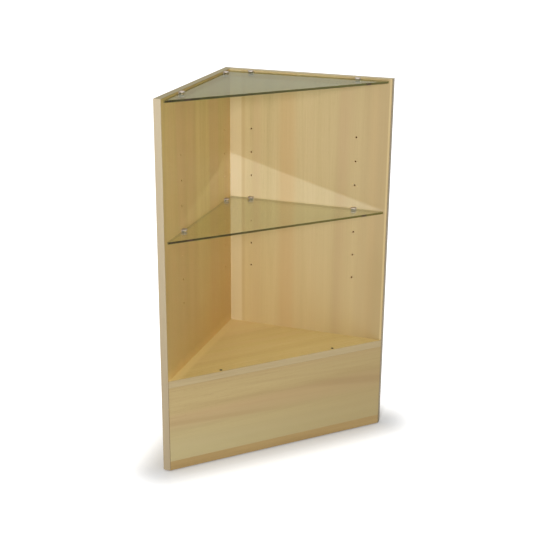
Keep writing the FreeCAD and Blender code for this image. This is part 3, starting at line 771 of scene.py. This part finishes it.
# Plain studio: a lamp beside the camera, its mirror image in the shelf, and an even white surround.
# The bounce powers are given, and the left one is more than a true mirror image would give
studio = {
    "keyTurn": -36.0,
    "keyLift": 18.5,
    "keyFar": 4.2,
    "keySize": 0.6,
    "keyPower": 82.0,
    "surround": 0.46,
    "ceiling": 0.76,
    "floorTone": 0.80,
    # the floor's glow at the cabinet's foot and far from it, and the width over which it rises: a painted
    # shadow round the foot
    "floorGlow": 0.0,
    "farGlow": 0.80,
    "paintedShadowWidth": 0.16,
    "floorSize": 40.0,
    "bouncePowers": {"left_side_panel": 420.0, "right_side_panel": 190.0},
    "bounceTone": (0.80, 1.0, 1.50, 1),
    "bounceSoft": 0.012,
    "bounceLeastRise": 0.001,    # keeps a ray's reach finite where it hardly rises
}


# Distance on the floor from a straight foot line: past its ends it is measured from the end
def fromSegment(shader, start, end):
    way = (end - start).normalized()
    run, side = shader.along(way, up.cross(way))
    run, side = run - way.dot(start), side - up.cross(way).dot(start)
    beyond = run - run.maths("MAXIMUM", 0.0).maths("MINIMUM", (end - start).length)
    return (beyond * beyond + side * side).maths("SQRT")


# The key light that the glass shelf mirrors up onto one panel: a lamp at the key's mirror image, open
# only where its light would leave the shelf's top face. It moves with the shelf, and so does its patch
def shelfBounce(look, panel, keyPlace):
    low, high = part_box("glass_shelf")
    source = keyPlace.copy()
    source.z = 2 * high.z - source.z
    lamp = bpy.data.lights.new("shelfBounce." + panel, "POINT")
    lamp.energy = look["bouncePowers"][panel]
    lamp.shadow_soft_size = 0.0
    lamp.use_shadow = False
    beam = Shader(lamp)
    heading = beam.node("ShaderNodeTexCoord", {}, {}, "Normal")
    x, y, z = (beam.dot(heading, axis) for axis in (acrossFront, -forward, up))
    reach = (high.z - source.z) / z.maths("MAXIMUM", look["bounceLeastRise"])
    x, y = x * reach + source.x, y * reach + source.y
    soft = look["bounceSoft"]
    slant = math.sqrt(0.5)
    inward = (backCorner.y - y) * slant
    window = (y - low.y).rise(-soft, soft)
    for fromPanel in (inward + x * slant, inward - x * slant):
        window = window * fromPanel.rise(thick - soft, thick + soft)
    glow = beam.node("ShaderNodeEmission", {}, {"Color": look["bounceTone"], "Strength": window})
    beam.finish(glow, "Light")
    bounce = bpy.data.objects.new("shelfBounce." + panel, lamp)
    bounce.location = source
    bpy.context.scene.collection.objects.link(bounce)
    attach(bounce, "shelf_glass")
    lit = bpy.data.collections.new("bounceReceivers." + panel)
    lit.objects.link(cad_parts[panel])
    bounce.light_linking.receiver_collection = lit


# A round lamp that faces the middle of the cabinet
def keyLamp(look):
    turn, lift = math.radians(look["keyTurn"]), math.radians(look["keyLift"])
    way = Vector((math.sin(turn) * math.cos(lift), -math.cos(turn) * math.cos(lift), math.sin(lift)))
    middle = Vector((0, 0, cabinet["height"] / 2))
    lamp = bpy.data.lights.new("keyLamp", "AREA")
    lamp.shape = "DISK"
    lamp.size = look["keySize"]
    lamp.energy = look["keyPower"]
    key = bpy.data.objects.new("keyLamp", lamp)
    key.location = middle + way * look["keyFar"]
    key.rotation_euler = way.to_track_quat("Z", "Y").to_euler()
    bpy.context.scene.collection.objects.link(key)
    return key


# White where it is seen, and a grey that brightens upwards as a light
def surroundWorld(look):
    world = bpy.data.worlds.new("surround")
    bpy.context.scene.world = world
    air = Shader(world)
    place = air.node("ShaderNodeTexCoord", {}, {}, "Generated")
    height = air.dot(place, up).rise(0.0, 1.0)
    soft = air.mix(height, grey(look["surround"]), grey(look["ceiling"]))
    tone = air.mix(air.seen(), soft, grey(1))
    air.finish(air.node("ShaderNodeBackground", {}, {"Color": tone, "Strength": 1.0}), "World")


# A grey floor that is seen as nearly white by a glow of its own and lights nothing; the glow fades along
# the cabinet's foot, a painted soft shadow there
def studioFloor(look):
    half = look["floorSize"] / 2
    corners = [(-half, -half, 0), (half, -half, 0), (half, half, 0), (-half, half, 0)]
    sheet = bpy.data.meshes.new("studioFloor")
    sheet.from_pydata(corners, [], [(0, 1, 2, 3)])
    floor = bpy.data.objects.new("studioFloor", sheet)
    bpy.context.scene.collection.objects.link(floor)
    ground = newMaterial("studioFloor")
    depth = cabinet["panelDepth"]
    feet = [backCorner, backCorner + leftRun * depth, backCorner + rightRun * depth]
    gaps = [fromSegment(ground, feet[k], feet[k - 1]) for k in range(len(feet))]
    away = gaps[0].maths("MINIMUM", gaps[1]).maths("MINIMUM", gaps[2]).rise(0.0, look["paintedShadowWidth"])
    glow = ground.mix(away, grey(look["floorGlow"]), grey(look["farGlow"]))
    sheet.materials.append(ground.finish(ground.surface({
        "Base Color": grey(look["floorTone"]), "Roughness": 1.0, "Specular IOR Level": 0.0,
        "Emission Color": ground.mix(ground.seen(), grey(0), glow), "Emission Strength": 1.0})))


key = keyLamp(studio)
for panel in studio["bouncePowers"]:
    shelfBounce(studio, panel, key.location)
surroundWorld(studio)
studioFloor(studio)
print("studio ready")
